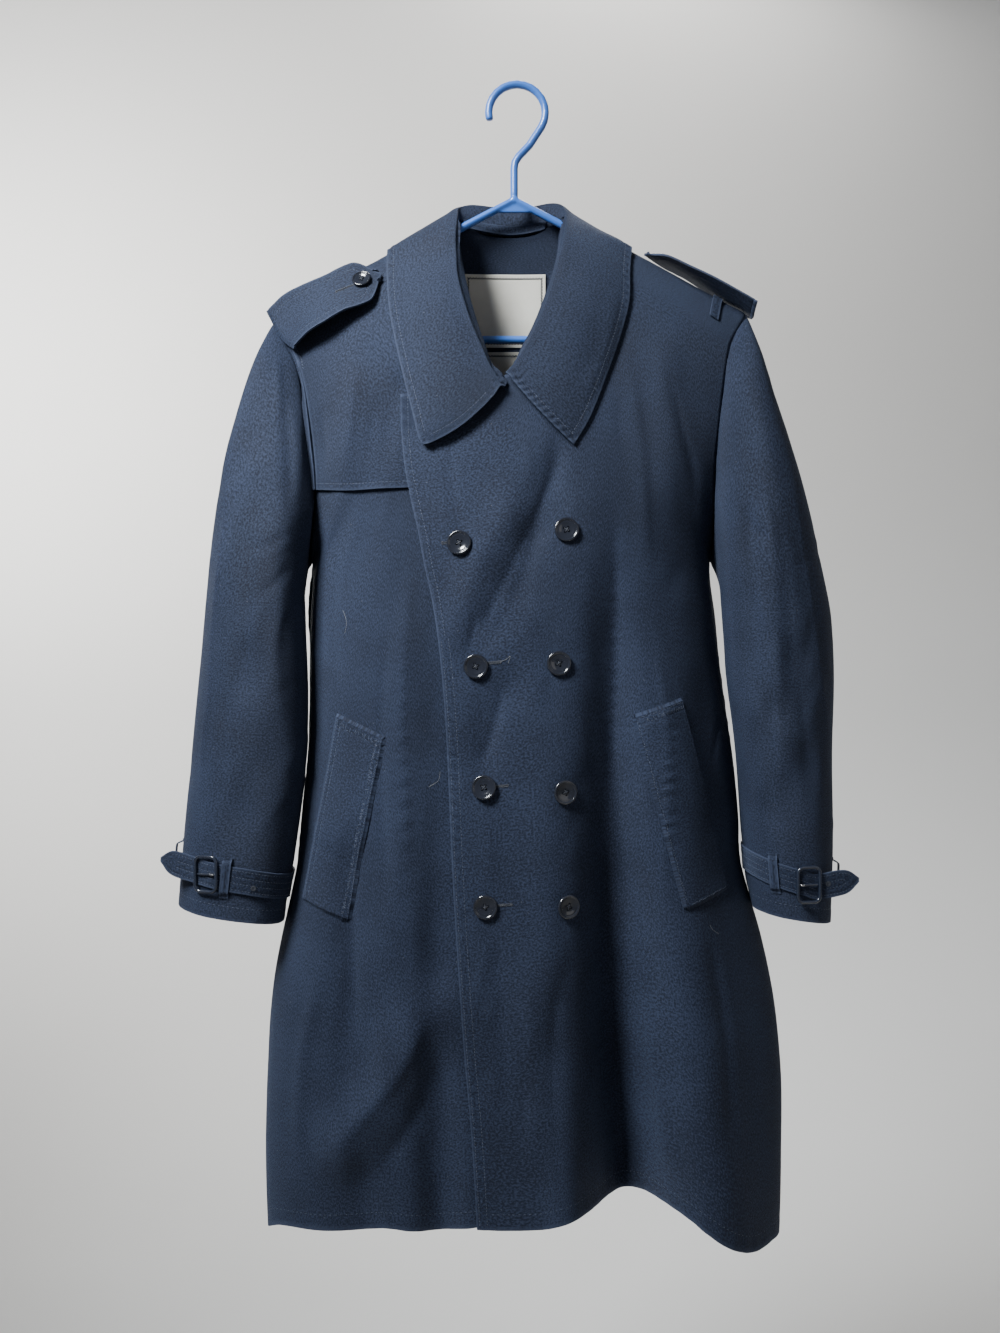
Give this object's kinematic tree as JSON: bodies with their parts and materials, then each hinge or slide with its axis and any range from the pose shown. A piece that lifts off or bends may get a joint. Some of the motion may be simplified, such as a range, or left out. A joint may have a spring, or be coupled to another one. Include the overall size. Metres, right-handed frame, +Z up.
{
  "type": "trench coat on a hanger",
  "caption": "Double-breasted trench coat with wide collar, storm flap, shoulder and cuff straps, hanging on a one-piece tubular hanger.",
  "frame": {"origin": "the inside top of the hanger's hook, where it bears on a nail or rail", "axes": "+Z up, -Y is the coat's front, +X is the right side as seen from the front (the wearer's left)"},
  "size_m": [0.6986, 0.1472, 1.1933],
  "materials": {
    "coat_cloth": "navy cotton-blend gabardine with a slight sheen",
    "trim_cloth": "the same gabardine, doubled and topstitched",
    "label_cloth": "woven cream tape, blank",
    "button_plastic": "polished black-navy",
    "buckle_plastic": "polished black-navy",
    "prong_metal": "plated",
    "hanger_plastic": "glossy blue"
  },
  "bodies": {
    "root": {"back": "coat_cloth", "buckle_left": "buckle_plastic", "buckle_right": "buckle_plastic", "button_left_1": "button_plastic", "button_left_2": "button_plastic", "button_left_3": "button_plastic", "button_left_4": "button_plastic", "button_right_1": "button_plastic", "button_right_2": "button_plastic", "button_right_3": "button_plastic", "button_right_4": "button_plastic", "collar_fall": "trim_cloth", "collar_stand": "trim_cloth", "cuff_loop_left": "trim_cloth", "cuff_loop_right": "trim_cloth", "cuff_outer_loop_left": "trim_cloth", "cuff_outer_loop_right": "trim_cloth", "cuff_strap_left": "trim_cloth", "cuff_strap_right": "trim_cloth", "front_over": "coat_cloth", "front_under": "coat_cloth", "hanger_arms": "hanger_plastic", "hanger_bar": "hanger_plastic", "hanger_hook": "hanger_plastic", "hanging_loop": "trim_cloth", "label_lower": "label_cloth", "label_main": "label_cloth", "pocket_welt_left": "coat_cloth", "pocket_welt_right": "coat_cloth", "prong_left": "prong_metal", "prong_right": "prong_metal", "shoulder_button_left": "button_plastic", "shoulder_button_right": "button_plastic", "shoulder_strap_left": "trim_cloth", "shoulder_strap_right": "trim_cloth", "sleeve_left": "coat_cloth", "sleeve_right": "coat_cloth", "storm_flap": "coat_cloth", "strap_loop_left": "trim_cloth", "strap_loop_right": "trim_cloth"}
  },
  "joints": []
}
